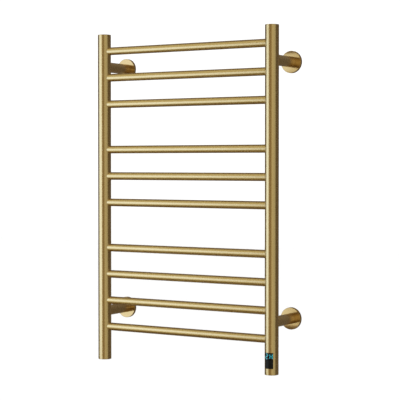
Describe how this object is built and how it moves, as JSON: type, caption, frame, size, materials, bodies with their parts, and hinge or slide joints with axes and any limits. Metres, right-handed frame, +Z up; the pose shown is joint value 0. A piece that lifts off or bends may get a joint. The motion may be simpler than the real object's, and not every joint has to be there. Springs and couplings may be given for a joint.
{
  "type": "towel warmer rack",
  "caption": "Wall-mounted ladder towel warmer: round uprights and horizontal rails in groups, stand-off arms with round rosettes, and a flush timer control at the foot.",
  "frame": {"origin": "centre of the wall drilling pattern of the four stand-offs, in the wall plane (the back of the wall plates)", "axes": "+Z up; +Y into the wall, so the front faces -Y; +X to the right as seen from the front"},
  "size_m": [0.52, 0.116, 0.8],
  "materials": {
    "gold_upright": "brushed, gold-coloured coating",
    "gold_rail": "brushed, gold-coloured coating",
    "gold_cap": "brushed, gold-coloured coating",
    "gold_arm": "brushed, gold-coloured coating",
    "gold_rosette": "turned and brushed, gold-coloured coating",
    "zinc_plate": "zinc plated",
    "screw_steel": "plain",
    "grommet_rubber": "matt",
    "cable_silicone": "satin",
    "bezel_black": "fine satin",
    "window_smoked": "polished, smoked, see-through",
    "digit_light": "lit",
    "guide_black": "matt",
    "key_black": "matt",
    "board_green": "solder mask",
    "switch_metal": "satin",
    "relay_blue": "satin",
    "terminal_grey": "satin",
    "carrier_grey": "matt",
    "fuse_white": "glazed",
    "lead_blue": "satin",
    "sensor_epoxy": "satin",
    "lead_yellow": "satin",
    "clip_bronze": "satin",
    "lead_green": "satin"
  },
  "bodies": {
    "rack": {"left_upright": "gold_upright", "right_upright": "gold_upright", "rail_01": "gold_rail", "rail_02": "gold_rail", "rail_03": "gold_rail", "rail_04": "gold_rail", "rail_05": "gold_rail", "rail_06": "gold_rail", "rail_07": "gold_rail", "rail_08": "gold_rail", "rail_09": "gold_rail", "rail_10": "gold_rail", "left_top_cap": "gold_cap", "left_bottom_cap": "gold_cap", "right_top_cap": "gold_cap", "right_bottom_cap": "gold_cap", "upper_left_arm": "gold_arm", "upper_left_rosette": "gold_rosette", "upper_left_wall_plate": "zinc_plate", "upper_right_arm": "gold_arm", "upper_right_rosette": "gold_rosette", "upper_right_wall_plate": "zinc_plate", "lower_left_arm": "gold_arm", "lower_left_rosette": "gold_rosette", "lower_left_wall_plate": "zinc_plate", "lower_right_arm": "gold_arm", "lower_right_rosette": "gold_rosette", "lower_right_wall_plate": "zinc_plate", "grub_screws": "screw_steel", "cable_grommet": "grommet_rubber", "heating_cable": "cable_silicone", "control_bezel": "bezel_black", "display_window": "window_smoked", "display_digits": "digit_light", "display_module": "guide_black", "circuit_board": "board_green", "tact_switch": "switch_metal", "relay": "relay_blue", "terminal_block": "terminal_grey", "control_carrier": "carrier_grey", "carrier_screw": "screw_steel", "thermal_fuse": "fuse_white", "neutral_lead": "lead_blue", "temperature_sensor": "sensor_epoxy", "sensor_lead": "lead_yellow", "earth_clip": "clip_bronze", "earth_lead": "lead_green"},
    "button": {"timer_button": "key_black"}
  },
  "joints": [
    {"name": "button_press", "type": "slide", "parent": "rack", "child": "button", "axis": [0, 1, 0], "range_m": [0, 0.0008], "stiffness_N_per_m": 2000}
  ]
}
